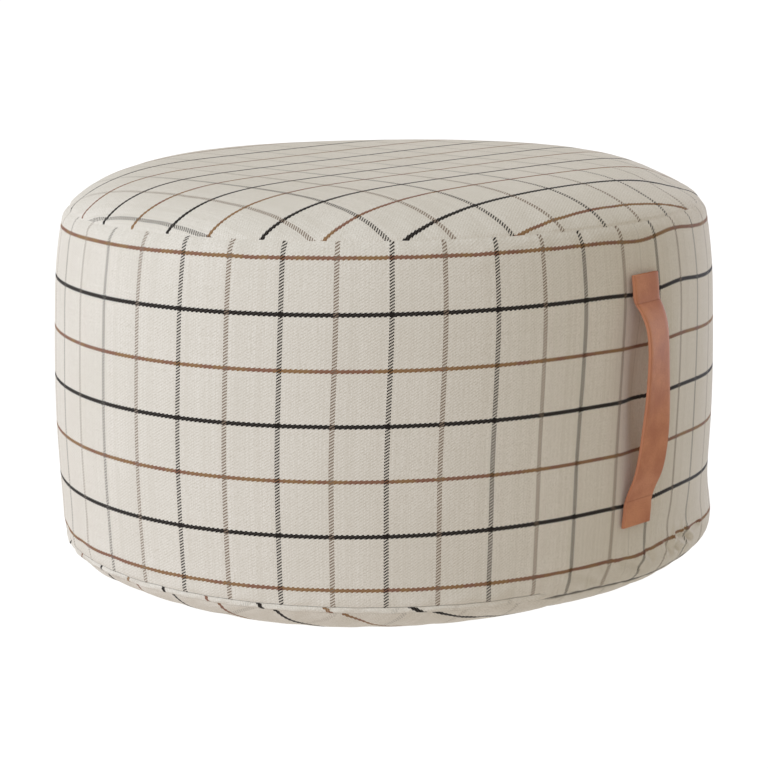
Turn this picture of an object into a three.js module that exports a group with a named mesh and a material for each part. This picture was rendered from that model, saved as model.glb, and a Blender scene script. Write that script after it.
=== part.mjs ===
// Round pouf: one filled cover of checked twill, with a leather handle on its side.
// Millimetres, +Z up. The origin is on the pouf's axis in the plane that it stands on,
// and the handle is on the +X side.
import * as THREE from "three";

// Driving dimensions
const WIDEST_RADIUS = 300;
const TOP_SEAM = { radius: 283, height: 328.4 };
const BOTTOM_SEAM = { radius: 294, height: 36.5 };
const CROWN_RISE = 33.6;
const CONTACT_RADIUS = 220;
const SEAM_DEPTH = 1.6;
const SEAM_HALF_WIDTH = 3.5;
const STRAP_WIDTH = 35.5;
const STRAP_THICKNESS = 3;
const STRAP_GAP = 0.8;

// Mesh fineness. The segments are closer together at the handle, by this share.
const SEGMENTS = 112;
const SEGMENT_CROWDING = 0.55;
const SIDE_RINGS = 14;
const SIDE_SAMPLES = 240;
const CROWN_RINGS = 10;
const FOOT_RINGS = 7;
const STRAP_STATIONS = 34;

// The side of the filled cover between its two seams. It bellies out below the middle and
// draws in to both seams.
const SIDE_SECTIONS = [
  { radius: BOTTOM_SEAM.radius, height: BOTTOM_SEAM.height },
  { radius: 295.4, height: 51 },
  { radius: 298.4, height: 96 },
  { radius: WIDEST_RADIUS, height: 142 },
  { radius: 299.8, height: 186 },
  { radius: 298.4, height: 230 },
  { radius: 296, height: 274 },
  { radius: 289.7, height: 317 },
  { radius: TOP_SEAM.radius, height: TOP_SEAM.height },
];

// The crown is a nearly flat plateau that rolls over to the seam:
// rise = CROWN_RISE * (1 - (r / seam radius) ^ power) ^ roll
// and the plateau is filled a little higher towards one side.
const CROWN_POWER = 7;
const CROWN_ROLL = 0.78;
const CROWN_HIGH_ANGLE = 135;
const CROWN_HIGH_SHARE = 0.13;
const CROWN_RING_CROWDING = 0.55;

// Soft swellings (+) and a flattened place (-) of the crown's shoulder. The share is that of
// the seam's radius, and wide is how far the mound spreads along it.
const CROWN_MOUNDS = [
  { angle: -170, share: 0.75, spread: 40, wide: 0.16, rise: 2.7 },
  { angle: 40, share: 0.93, spread: 28, wide: 0.09, rise: -5.8 },
  { angle: 95, share: 0.8, spread: 45, wide: 0.16, rise: 1.8 },
];
const CROWN_MOUND_POWER = 20;
const CROWN_EDGE_INSET = 1.2;

// The bottom turns under from the seam to the floor: up = 1 - (1 - out ^ power) ^ roll
const FOOT_POWER = 1.8;
const FOOT_ROLL = 0.57;

// A narrow flap of the side's cloth hangs over the start of the bottom along part of the seam.
const FLAP_DROP = 0.045;
const FLAP_PROUD = 1.4;
const FLAP_STEP = 0.02;
const FLAP_MIDDLE = -69;
const FLAP_HALF_ANGLE = 55;
const FLAP_END = 5;

// The stuffed cover leans a little: its seams lie higher towards this angle, and the flat
// that it stands on is shifted away from it.
const LEAN_ANGLE = 45;
const LEAN_AT_BOTTOM_SEAM = 5;
const LEAN_AT_TOP_SEAM = 4.1;
const CONTACT_SHIFT = 10;
const CONTACT_SHIFT_ANGLE = 35;
const CONTACT_TUCKS = [
  { angle: -12, spread: 28, depth: 33 },
  { angle: -102, spread: 32, depth: 18 },
];

// Soft hollows (-) and swellings (+) of the side, each a rounded mound:
// where it is, how far it spreads, and how far it moves the cloth outwards.
// The first is the trough behind the handle, along the side's closing seam.
const MOUNDS = [
  { angle: 0, height: 184, spread: 3.6, tall: 74, rise: -9 },
  { angle: -7.5, height: 184, spread: 3.2, tall: 80, rise: 1.2 },
  { angle: 8, height: 200, spread: 3.4, tall: 85, rise: 1.2 },
  { angle: 34, height: 40, spread: 15, tall: 26, rise: 7.5 },
  { angle: 12, height: 66, spread: 8, tall: 12, rise: -2.0 },
  { angle: 2, height: 40, spread: 8, tall: 14, rise: 1.6 },
  { angle: -31, height: 40, spread: 8, tall: 11, rise: 1.2 },
  { angle: 95, height: 48, spread: 16, tall: 18, rise: 2.6 },
  { angle: 150, height: 56, spread: 18, tall: 20, rise: -2.2 },
  { angle: 205, height: 300, spread: 20, tall: 25, rise: 1.8 },
  { angle: 250, height: 52, spread: 14, tall: 16, rise: 1.5 },
];

// The handle from its upper end to its lower end: height on the side, how far the strap
// stands off the cloth, how far its face turns from straight out, and how far its middle
// lies from the +X side.
const STRAP_SECTIONS = [
  { height: 292, bow: 0.7, turn: 4.5, angle: 0.3 },
  { height: 281, bow: 0.8, turn: 4.5, angle: 0.3 },
  { height: 271, bow: 1.6, turn: 5.5, angle: 0.2 },
  { height: 262, bow: 7.4, turn: 9, angle: 0.1 },
  { height: 250, bow: 12.4, turn: 12, angle: 0 },
  { height: 234, bow: 14.4, turn: 13, angle: -0.1 },
  { height: 215, bow: 14.6, turn: 11.5, angle: -0.2 },
  { height: 190, bow: 14.2, turn: 7.5, angle: -0.3 },
  { height: 168, bow: 13.6, turn: 3, angle: -0.5 },
  { height: 147, bow: 11.8, turn: 1, angle: -0.6 },
  { height: 128, bow: 8.6, turn: 1, angle: -0.7 },
  { height: 113, bow: 3, turn: 2, angle: -0.8 },
  { height: 103, bow: 0.5, turn: 2, angle: -0.9 },
  { height: 94, bow: 0.3, turn: 1.5, angle: -0.9 },
  { height: 83, bow: 0.3, turn: 1, angle: -1 },
];

const radians = THREE.MathUtils.degToRad;

function clothMaterial() {
  return new THREE.MeshStandardMaterial({ color: 0xd9d0c3, roughness: 0.95, metalness: 0 });
}

function leatherMaterial() {
  return new THREE.MeshStandardMaterial({ color: 0xb9785a, roughness: 0.6, metalness: 0 });
}

// Angle of a segment's line, in degrees.
function segmentAngle(i) {
  const share = i / SEGMENTS;
  const crowding = (SEGMENT_CROWDING * Math.sin(2 * Math.PI * share)) / (2 * Math.PI);
  return 360 * (share - crowding);
}

// Smallest turn between two angles, in degrees.
function turnBetween(a, b) {
  return Math.abs(((a - b + 540) % 360) - 180);
}

// How far the cloth of the side stands out of its plain section.
function moundAt(angle, height) {
  return MOUNDS.reduce((sum, m) => {
    const across = turnBetween(angle, m.angle) / m.spread;
    const along = (height - m.height) / m.tall;
    return sum + m.rise * Math.exp(-across * across - along * along);
  }, 0);
}

// Share of the way from the bottom seam to the top seam.
function sideShare(height) {
  return (height - BOTTOM_SEAM.height) / (TOP_SEAM.height - BOTTOM_SEAM.height);
}

function leanAt(height, radius, angle) {
  const share = THREE.MathUtils.clamp(sideShare(height), 0, 1);
  const lean = THREE.MathUtils.lerp(LEAN_AT_BOTTOM_SEAM, LEAN_AT_TOP_SEAM, share);
  return (lean * radius * Math.cos(radians(angle - LEAN_ANGLE))) / WIDEST_RADIUS;
}

// Radius of the plain side at a height, from its sections.
const sideCurve = new THREE.SplineCurve(
  SIDE_SECTIONS.map((s) => new THREE.Vector2(s.height, s.radius)),
);
const sidePoints = sideCurve.getPoints(SIDE_SAMPLES);

function sideRadius(height) {
  const next = sidePoints.findIndex((p) => p.x >= height);
  if (next === 0) return sidePoints[0].y;
  if (next < 0) return sidePoints[SIDE_SAMPLES].y;
  const a = sidePoints[next - 1];
  const b = sidePoints[next];
  return a.y + ((b.y - a.y) * (height - a.x)) / (b.x - a.x);
}

function polar(radius, angle, height) {
  return new THREE.Vector3(
    radius * Math.cos(radians(angle)),
    radius * Math.sin(radians(angle)),
    height,
  );
}

// A point of the side, with its mounds and its lean.
function sidePoint(angle, height) {
  const radius = sideRadius(height) + moundAt(angle, height);
  return polar(radius, angle, height + leanAt(height, radius, angle));
}

// A point of a seam's crease, drawn in where the two panels meet.
function creasePoint(angle, seam) {
  const radius = seam.radius - SEAM_DEPTH + moundAt(angle, seam.height);
  return polar(radius, angle, seam.height + leanAt(seam.height, radius, angle));
}

// A point of the crown, from the seam (share 1) to the middle (share 0).
function crownMoundAt(angle, share) {
  let total = 0;
  for (const mound of CROWN_MOUNDS) {
    const away = turnBetween(angle, mound.angle) / mound.spread;
    const along = (share - mound.share) / mound.wide;
    total += mound.rise * Math.exp(-away * away - along * along);
  }
  return total * (1 - share ** CROWN_MOUND_POWER);
}

function crownPoint(angle, share) {
  const radius = TOP_SEAM.radius * share;
  const higher = 1 + CROWN_HIGH_SHARE * share * Math.cos(radians(angle - CROWN_HIGH_ANGLE));
  const plateau = CROWN_RISE * higher * (1 - share ** CROWN_POWER) ** CROWN_ROLL;
  const height = TOP_SEAM.height + plateau + crownMoundAt(angle, share);
  return polar(radius, angle, height + leanAt(TOP_SEAM.height, radius, angle));
}

// Radius of the flat that the pouf stands on: shifted to one side and tucked in at two places.
function contactRadius(angle) {
  let radius = CONTACT_RADIUS - CONTACT_SHIFT * Math.cos(radians(angle - CONTACT_SHIFT_ANGLE));
  for (const tuck of CONTACT_TUCKS) {
    const away = turnBetween(angle, tuck.angle) / tuck.spread;
    radius -= tuck.depth * Math.exp(-away * away);
  }
  return radius;
}

// A point of the turned-under bottom, from the flat (out 0) to the seam (out 1).
function footPoint(angle, out, proud) {
  const contact = contactRadius(angle);
  const seamRadius = BOTTOM_SEAM.radius + moundAt(angle, BOTTOM_SEAM.height);
  const seamHeight = BOTTOM_SEAM.height + leanAt(BOTTOM_SEAM.height, seamRadius, angle);
  const up = 1 - (1 - out ** FOOT_POWER) ** FOOT_ROLL;
  return polar(contact + (seamRadius - contact) * out + proud, angle, seamHeight * up);
}

// How far the flap's edge stands out of the bottom at an angle.
function flapProud(angle) {
  const past = turnBetween(angle, FLAP_MIDDLE) - FLAP_HALF_ANGLE;
  return FLAP_PROUD * (1 - THREE.MathUtils.smoothstep(past, -FLAP_END, FLAP_END));
}

// The rings of the filled cover from the flat bottom to the crown, each a function of the angle.
function bodyRings() {
  const rings = [];
  const flapEdge = 1 - FLAP_DROP;
  for (let k = 0; k < FOOT_RINGS; k += 1) {
    const out = Math.sin((k / FOOT_RINGS) * 0.5 * Math.PI) * (flapEdge - FLAP_STEP);
    rings.push((angle) => footPoint(angle, out, 0));
  }
  rings.push((angle) => footPoint(angle, flapEdge - FLAP_STEP, 0));
  rings.push((angle) => footPoint(angle, flapEdge, flapProud(angle)));
  rings.push((angle) => creasePoint(angle, BOTTOM_SEAM));
  const low = BOTTOM_SEAM.height + SEAM_HALF_WIDTH;
  const high = TOP_SEAM.height - SEAM_HALF_WIDTH;
  for (let k = 0; k <= SIDE_RINGS; k += 1) {
    // closer together towards the two seams
    const share = 0.5 - 0.5 * Math.cos((k / SIDE_RINGS) * Math.PI);
    rings.push((angle) => sidePoint(angle, low + (high - low) * share));
  }
  rings.push((angle) => creasePoint(angle, TOP_SEAM));
  const crownEdge = 1 - CROWN_EDGE_INSET / TOP_SEAM.radius;
  for (let k = 0; k < CROWN_RINGS; k += 1) {
    const share = crownEdge * Math.cos((k / CROWN_RINGS) * 0.5 * Math.PI) ** CROWN_RING_CROWDING;
    rings.push((angle) => crownPoint(angle, share));
  }
  return rings;
}

// Closed surface over rings of equal length, with a middle point at each end.
function lathedShell(rings, segments, bottom, top) {
  const points = [bottom];
  rings.forEach((ring) => {
    for (let i = 0; i < segments; i += 1) points.push(ring(segmentAngle(i)));
  });
  points.push(top);
  const at = (k, i) => 1 + k * segments + (i % segments);
  const faces = [];
  for (let i = 0; i < segments; i += 1) {
    faces.push(0, at(0, i + 1), at(0, i));
    for (let k = 0; k + 1 < rings.length; k += 1) {
      faces.push(at(k, i), at(k, i + 1), at(k + 1, i + 1));
      faces.push(at(k, i), at(k + 1, i + 1), at(k + 1, i));
    }
    faces.push(at(rings.length - 1, i), at(rings.length - 1, i + 1), points.length - 1);
  }
  return shell(points, faces);
}

function shell(points, faces) {
  const geometry = new THREE.BufferGeometry().setFromPoints(points);
  geometry.setIndex(faces);
  geometry.computeVertexNormals();
  return geometry;
}

function makeBody() {
  const bottom = new THREE.Vector3(0, 0, 0);
  const top = new THREE.Vector3(0, 0, TOP_SEAM.height + CROWN_RISE);
  const mesh = new THREE.Mesh(lathedShell(bodyRings(), SEGMENTS, bottom, top), clothMaterial());
  mesh.name = "pouf_body";
  return mesh;
}

// One column of the strap's sections as a smooth curve from its upper to its lower end.
function strapColumn(name) {
  const last = STRAP_SECTIONS.length - 1;
  const curve = new THREE.SplineCurve(
    STRAP_SECTIONS.map((s, k) => new THREE.Vector2(k / last, s[name])),
  );
  return (share) => curve.getPoint(share).y;
}

// The four corners of the strap's section: inner and outer corner of one edge, then the other.
function strapCorners(height, bow, turn, angle) {
  const radius = sideRadius(height - leanAt(height, WIDEST_RADIUS, angle));
  const facing = angle + turn;
  const out = new THREE.Vector3(Math.cos(radians(facing)), Math.sin(radians(facing)), 0);
  const across = new THREE.Vector3(-out.y, out.x, 0);
  const middle = polar(radius + STRAP_GAP + Math.max(bow, 0), angle, height);
  return [
    middle.clone().addScaledVector(across, -STRAP_WIDTH / 2),
    middle.clone().addScaledVector(across, -STRAP_WIDTH / 2).addScaledVector(out, STRAP_THICKNESS),
    middle.clone().addScaledVector(across, STRAP_WIDTH / 2).addScaledVector(out, STRAP_THICKNESS),
    middle.clone().addScaledVector(across, STRAP_WIDTH / 2),
  ];
}

function makeStrap() {
  const [height, bow, turn, angle] = ["height", "bow", "turn", "angle"].map(strapColumn);
  const points = [];
  for (let k = 0; k <= STRAP_STATIONS; k += 1) {
    const share = k / STRAP_STATIONS;
    points.push(...strapCorners(height(share), bow(share), turn(share), angle(share)));
  }
  const faces = [];
  const at = (k, i) => k * 4 + (i % 4);
  for (let k = 0; k < STRAP_STATIONS; k += 1) {
    for (let i = 0; i < 4; i += 1) {
      faces.push(at(k, i), at(k + 1, i + 1), at(k, i + 1));
      faces.push(at(k, i), at(k + 1, i), at(k + 1, i + 1));
    }
  }
  faces.push(at(0, 0), at(0, 1), at(0, 2), at(0, 0), at(0, 2), at(0, 3));
  const end = STRAP_STATIONS;
  faces.push(at(end, 0), at(end, 2), at(end, 1), at(end, 0), at(end, 3), at(end, 2));
  const mesh = new THREE.Mesh(shell(points, faces), leatherMaterial());
  mesh.name = "handle_strap";
  return mesh;
}

const pouf = new THREE.Group();
pouf.add(makeBody());
pouf.add(makeStrap());

export default pouf;
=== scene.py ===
import math
from typing import NamedTuple

import bpy
import numpy as np
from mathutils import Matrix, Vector


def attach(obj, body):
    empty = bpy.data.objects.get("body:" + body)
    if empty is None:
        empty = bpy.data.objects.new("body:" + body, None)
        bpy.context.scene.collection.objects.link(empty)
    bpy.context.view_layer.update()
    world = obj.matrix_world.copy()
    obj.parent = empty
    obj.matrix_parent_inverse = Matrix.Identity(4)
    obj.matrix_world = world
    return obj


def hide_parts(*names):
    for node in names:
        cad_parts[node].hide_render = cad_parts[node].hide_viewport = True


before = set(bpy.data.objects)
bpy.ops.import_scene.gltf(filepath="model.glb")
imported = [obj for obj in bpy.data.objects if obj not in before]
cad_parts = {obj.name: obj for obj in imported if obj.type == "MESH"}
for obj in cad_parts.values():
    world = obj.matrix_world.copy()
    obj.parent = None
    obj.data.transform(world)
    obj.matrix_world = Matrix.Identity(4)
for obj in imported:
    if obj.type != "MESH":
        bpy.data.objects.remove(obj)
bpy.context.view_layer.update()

# Sizes are in millimetres and angles in degrees unless a comment says otherwise. The frame is
# the part's: the pouf's axis is Z, the floor is at Z = 0 and the handle is at angle 0, on the
# +X side. Meshes are made in metres.
MM = 0.001

# The pouf's form, as in its solids: the seams, the crown, the foot and how the whole leans
WIDEST_RADIUS = 300.0
TOP_SEAM_RADIUS = 283.0
TOP_SEAM_HEIGHT = 328.4
BOTTOM_SEAM_RADIUS = 294.0
BOTTOM_SEAM_HEIGHT = 36.5
CROWN_RISE = 33.6
CROWN_POWER = 7
CROWN_ROLL = 0.78
CROWN_HIGH_ANGLE = 135
CROWN_HIGH_SHARE = 0.13
CONTACT_RADIUS = 220.0
CONTACT_SHIFT = 10.0
CONTACT_SHIFT_ANGLE = 35
FOOT_POWER = 1.8
FOOT_ROLL = 0.57
LEAN_ANGLE = 45
LEAN_AT_BOTTOM_SEAM = 5.0
LEAN_AT_TOP_SEAM = 4.1

# Height and radius of the side's plain section
SIDE_SECTIONS = [
    (36.5, 294.0), (51, 295.4), (96, 298.4), (142, 300.0), (186, 299.8),
    (230, 298.4), (274, 296.0), (317, 289.7), (328.4, 283.0),
]
SIDE_CURVE_STEPS = 40

# Rounded hollows and swellings of the side: angle, height, spread in degrees, spread in
# height, and how far the cloth stands out. The first is the trough behind the handle.
MOUNDS = [
    (0, 184, 3.6, 74, -9), (-7.5, 184, 3.2, 80, 1.2), (8, 200, 3.4, 85, 1.2),
    (34, 40, 15, 26, 7.5), (12, 66, 8, 12, -2.0), (2, 40, 8, 14, 1.6),
    (-31, 40, 8, 11, 1.2), (95, 48, 16, 18, 2.6), (150, 56, 18, 20, -2.2),
    (205, 300, 20, 25, 1.8), (250, 52, 14, 16, 1.5),
]

# Swellings and a flattened place of the crown's shoulder: angle, share of the seam's radius,
# spread in degrees, spread along the share, and rise.
CROWN_MOUNDS = [(-170, 0.75, 40, 0.16, 2.7), (40, 0.93, 28, 0.09, -5.8), (95, 0.8, 45, 0.16, 1.8)]
CROWN_MOUND_POWER = 20

# Places where the flat that it stands on is tucked in: angle, spread and depth
CONTACT_TUCKS = [(-12, 28, 33), (-102, 32, 18)]

# Creases near the lower seam: angle and height of both ends, width and depth. Each has a low
# ridge beside it, a share of its depth high and some widths away.
CREASES = [
    (13, 52, 17, 47, 2.3, 4.2), (14.5, 47, 19, 42, 2.2, 4.0), (16.2, 53, 18.4, 44, 2.2, 3.4),
    (12.6, 44, 14.6, 39, 2.2, 3.2), (18, 48, 23, 50, 2.4, 3.0), (9, 52, 11.4, 40, 2.6, 1.8),
    (-14, 50, -8, 38, 3.2, 1.6), (-3, 48, 2, 38, 3.0, 1.6), (3, 54, 5, 42, 2.8, 1.4),
    (-50, 44, -46, 38, 2.4, 0.5), (-72, 43, -70, 38, 2.4, 0.5), (-98, 44, -94, 38, 2.4, 0.5),
    (60, 50, 66, 38, 3.0, 0.9), (112, 52, 106, 38, 3.0, 0.8), (170, 50, 176, 38, 3.0, 0.8),
    (222, 48, 216, 38, 3.0, 0.7),
]
CREASE_RIDGE_SHARE = 0.45
CREASE_RIDGE_WIDTHS = 2

# How far the seams are drawn in, and the share of the foot's width at which the bottom panel
# starts. At the right it is pulled further under. Here and below, four angles say where a thing
# starts, is full, starts to fade and is gone.
SEAM_DEPTH = 1.1
TOP_SEAM_DEPTH = 0.7
EDGE_OUT = 0.985
EDGE_DROP = 0.045
EDGE_DROP_ANGLES = (-9, 12, 25, 60)

# At the front the bottom panel's cloth is folded up to the lower seam as a flap: how far it
# stands proud, more at its lower edge than at its upper one, where it lies, and how far its
# check is turned against the bottom's.
FLAP_PROUD = 0.9
FLAP_LOWER_EDGE = 1.1
FLAP_TAPER = 0.5
FLAP_MIDDLE = -71.5
FLAP_HALF_ANGLE = 53
FLAP_FADE = 3
FLAP_CLOTH_TURN = 1.9

# The cover's mesh before it is subdivided: how many points a ring has, crowded beside the
# handle, and where the rings lie on the bottom, the lower edge, the side and the crown
SEGMENTS = 256
CROWDING = 0.7
CROWDING_ANGLE = 12
BOTTOM_RING_RADII = (6, 40, 80, 115, 145)
CONTACT_RING_SHARE = 0.93
FOOT_RINGS = 13
EDGE_FIRST_STEP = 0.004
EDGE_FIRST_DEPTH = 0.2
EDGE_RING_SHARES = (0.3, 0.6, 0.85)
SIDE_RINGS = 42
SIDE_RING_CROWDING = 0.6
ABOVE_LOWER_SEAM = 1.8
BELOW_TOP_SEAM = 1.4
CROWN_RINGS = 22
CROWN_RING_POWER = 0.85
POLE_RING_SHARES = [0.01, 0.05]
INSIDE_TOP_SEAM = 1.2

CHECK_PITCH = 44.4

# Upright lines on the side: line number, its angle near the top and its angle low down.
# Even lines are black and odd ones taupe. The rest follow on evenly round the back.
UPRIGHTS = [
    (-8, -112.2, -112.2), (-7, -104.2, -104.2), (-6, -95.9, -96.0), (-5, -87.1, -87.3),
    (-4, -78.1, -78.5), (-3, -69.5, -70.0), (-2, -60.6, -61.2), (-1, -52.1, -52.9),
    (0, -43.7, -44.6), (1, -35.6, -36.6), (2, -27.4, -28.5), (3, -19.6, -20.8),
    (4, -12.2, -14.1), (5, -3.8, -6.0), (6, 4.8, 2.6), (7, 11.8, 9.9), (8, 19.2, 17.2),
    (9, 27.0, 25.0),
]
UPRIGHTS_TOP_HEIGHT = 290.0
UPRIGHTS_LOW_HEIGHT = 130.0
LINES_ROUND = 44

# Under the handle the upright lines bend just above the lower seam: lines for each millimetre
# below a height, down to a depth.
BEND = 0.012
BEND_BELOW = 52
BEND_DEPTH = 40
BEND_ANGLE = 2
BEND_SPREAD = 18

# Lines round the side: line number, height, and how much it rises towards the lean's side.
# Even lines are black and odd ones brown.
ROUNDS = [
    (-3, 51.6, 7.0), (-2, 96.6, 8.6), (-1, 141.6, 8.1), (0, 185.8, 7.4), (1, 229.4, 6.8),
    (2, 273.4, 6.2), (3, 316.6, 5.3),
]

# At the right and back those lines lose most of that rise.
LEVEL_SHARE = 0.85
LEVEL_ANGLES = (5, 32, 120, 200)

# The handle's stitching pulls them up beside its upper end and down behind it, and the lowest
# one steps up where the cloth is folded.
PULL_UP = 2.1
PULL_UP_ANGLE = 12
PULL_UP_SPREAD = 6.0
PULL_UP_HEIGHTS = (200, 290)
PULL_DOWN = 2.8
PULL_DOWN_ANGLE = 0.5
PULL_DOWN_SPREAD = 5.5
STEP_UP = 2.2
STEP_UP_ANGLES = (12.4, 13.2, 20, 50)
STEP_UP_BELOW = 80

# Solid lines of the top panel: place along X on the flat cloth and line number.
# Even lines are black and odd ones brown.
TOP_ROUNDS = [
    (-327, -12), (-283, -11), (-238, -10), (-192, -9), (-145, -8), (-97, -7), (-49, -6),
    (-4, -5), (40, -4), (82, -3), (127, -2), (171, -1), (218, 0), (266.5, 1), (312, 2),
]

# They are a little askew, and near the handle the whole check slips sideways. Its dashed lines
# are even: place along Y of a black one, and pitch.
TOP_SKEW = 0.018
TOP_SKEW_START = -100
TOP_SLIP = 14.0
TOP_SLIP_PLACES = (90, 270)
TOP_UPRIGHT_PLACE = -17.0
TOP_UPRIGHT_PITCH = 43.8

# The bottom panel's solid lines stand square to this angle: how far out a black one lies, and
# how far aside a black dashed one.
BOTTOM_NORMAL = -8.0
BOTTOM_PLACE = -2.0
BOTTOM_UPRIGHT_PLACE = 10.0

# How strongly the upright lines show, from 0 to 1: on the bottom, the flap, the lower edge and
# the side, where they are paler at the right and the left, and on the top, where they fade
# towards the back and the left of the photo's view
BOTTOM_STRENGTH = 0.3
FLAP_STRENGTH = 0.2
EDGE_STRENGTH = 0.98
SIDE_FADE = 0.35
SIDE_FADE_RIGHT = (8, 24, 70, 110)
SIDE_FADE_LEFT = (-178, -150, -105, -75)
TOP_STRENGTH = 0.98
TOP_FADE_BACK = 0.56
TOP_FADE_BACK_PLACES = (-180, 0)
TOP_FADE_LEFT = 0.16
TOP_FADE_LEFT_PLACES = (60, 220)

# A seam shows as a thin dark line of painted shadow, as in its crease. What is added to the distance from it
# makes it fainter, or stronger where it is negative. The lower seam's painted shadow is stronger and wider
# at the right.
FAR_FROM_SEAM = 9.0
TOP_SEAM_FAINT = 0.75
FOOT_SEAM_FAINT = 0.3
FLAP_SEAM_FAINT = -0.35
CLOSING_SEAM_FAINT = 0.35
SEAM_SHADOW_ANGLES = (-21, -16, 40, 60)
SEAM_SHADOW_BELOW = 1.0
SEAM_SHADOW_BELOW_WIDER = 0.3
SEAM_SHADOW_ABOVE = 0.7
SEAM_SHADOW_ABOVE_WIDER = 0.4

# The side band's closing seam is behind the handle, half-way between two upright lines. Its painted shadow
# line is drawn only where those lines show at more than this strength, which is on the side alone.
CLOSING_SEAM = 5.5 * CHECK_PITCH
CLOSING_SEAM_STRENGTH = 0.99

# The weave: width of an end and a pick, threads in one repeat, and half the lines' widths
END_PITCH = 1.05
PICK_PITCH = 0.62
TWILL_REPEAT = 4
UPRIGHT_HALF = 2.1
BLACK_HALF = 2.0
BROWN_HALF = 1.82

# The handle from its upper end: height, how far it stands off the cloth, how far its face
# turns from straight out, and the angle of its middle
STRAP_SECTIONS = [
    (292, 0.7, 4.5, 0.3), (281, 0.8, 4.5, 0.3), (271, 1.6, 5.5, 0.2), (262, 7.4, 9, 0.1),
    (250, 12.4, 12, 0), (234, 14.4, 13, -0.1), (215, 14.6, 11.5, -0.2), (190, 14.2, 7.5, -0.3),
    (168, 13.6, 3, -0.5), (147, 11.8, 1, -0.6), (128, 8.6, 1, -0.7), (113, 3, 2, -0.8),
    (103, 0.5, 2, -0.9), (94, 0.3, 1.5, -0.9), (83, 0.3, 1, -1),
]
STRAP_STEPS = 10
STRAP_WIDTH = 35.5
STRAP_THICKNESS = 3.0
STRAP_GAP = 0.8
STRAP_EDGE_RADIUS = 0.9
STRAP_CORNER_STEPS = 3
STRAP_FACE_STEPS = 9

# Where the leather is creased along its length, from its upper end, with painted shade along the creases,
# and how wide its darker raw edge is, from where it starts to where it is full
STRAP_FOLDS = (23, 192)
STRAP_FOLD_WIDTH = 1.1
STRAP_RIM = (1.0, 0.4)

# The cloth simulation that presses the filling against the cover
SETTLE_FRAMES = 14
SETTLE_SEED = 7
SETTLE_NUDGE = 0.12
HELD_BOTTOM_RINGS = 7
CLOTH_SETTINGS = {
    "quality": 6,
    "mass": 0.35,
    "tension_stiffness": 18,
    "compression_stiffness": 18,
    "shear_stiffness": 6,
    "bending_stiffness": 0.35,
    "air_damping": 4,
    "use_pressure": True,
    "uniform_pressure_force": 3.0,
    "shrink_min": -0.012,
}

# What is kept of it: waves round each ring that are short enough, up to a limit. They are
# strongest within reach of a seam, weaker on the top, and left out behind the handle and
# under the foot.
PUCKER_WAVES = (5, 13)
PUCKER_LIMIT = 1.8
PUCKER_RADII = (140, 240)
PUCKER_SEAM_HEIGHTS = (330, 42)
PUCKER_REACH = 35
PUCKER_FAR_SHARE = 0.25
PUCKER_TOP_SHARE = 0.4
BEHIND_HANDLE_SPREAD = 9
BEHIND_HANDLE_HEIGHTS = (50, 80)
BEHIND_HANDLE_RADIUS = 280

# The stage, in metres. Places are as seen by the camera: to the right, away from it, and up.
# A light has its place, size, power and tint.
FLOOR_HALF = 300.0
LIGHT_TARGET = (0, 0, 0.2)
LIGHTS = {
    "key": ((-2.2, -1.6, 2.1), 1.6, 41, (0.64, 0.82, 1.0)),
    "rim": ((1.95, 1.65, 0.3), 1.0, 45, (0.73, 0.79, 1.0)),
}
WORLD_BRIGHT_SIDE = (-0.98, -0.20, 0.0)
WORLD_DARK = (0.326, 0.291, 0.185, 1)
WORLD_BRIGHT = (1.117, 1.089, 1.127, 1)
CAMERA_PLACE = (0.0003, -1.7988, 0.5402)
CAMERA_LOOK = (0.0, 0.97792, -0.20901)
FOCAL_PIXELS = 1986.1
PICTURE_PIXELS = 768
SENSOR_WIDTH = 36.0


# Sums used throughout

def cos_deg(a):
    return np.cos(np.radians(a))


def sin_deg(a):
    return np.sin(np.radians(a))


def smooth(x, low, high):
    """0 up to low, 1 from high on, and a smooth step between them."""
    t = np.clip((x - low) / (high - low), 0, 1)
    return t * t * (3 - 2 * t)


def between(x, start, full, fade, end):
    """0 outside start and end, and 1 from full to fade."""
    return smooth(x, start, full) * (1 - smooth(x, fade, end))


def bell(*offsets, power=2):
    """1 in the middle and close to 0 from two spreads out. Offsets are counted in spreads."""
    return np.exp(-sum(o ** power for o in offsets))


def turn_between(a, b):
    return np.abs((a - b + 540) % 360 - 180)


def crowded(shares, bend):
    """Shares from 0 to 1, moved towards both ends."""
    return shares - bend * np.sin(2 * math.pi * shares) / (2 * math.pi)


def spaced(count, bend=0):
    """Shares from 0 to 1 in a number of steps, closer together at both ends."""
    return crowded(np.arange(count + 1) / count, bend)


def catmull(points, steps):
    """A smooth curve through points, each a row of numbers."""
    p = np.array([points[0], *points, points[-1]], float)
    curve = []
    for a, b, c, d in zip(p, p[1:], p[2:], p[3:]):
        for t in np.linspace(0, 1, steps, endpoint=False):
            curve.append(0.5 * (2 * b + (c - a) * t + (2 * a - 5 * b + 4 * c - d) * t ** 2
                                + (3 * b - a - 3 * c + d) * t ** 3))
    curve.append(p[-1])
    return np.array(curve)


# Form of the pouf

SIDE_CURVE = catmull(SIDE_SECTIONS, SIDE_CURVE_STEPS)


def side_radius(height):
    return np.interp(height, SIDE_CURVE[:, 0], SIDE_CURVE[:, 1])


def mound(angle, height):
    """How far the side stands out of its plain section."""
    total = np.zeros(np.broadcast(angle, height).shape)
    for a, h, spread, tall, rise in MOUNDS:
        total = total + rise * bell(turn_between(angle, a) / spread, (height - h) / tall)
    return total


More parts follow.
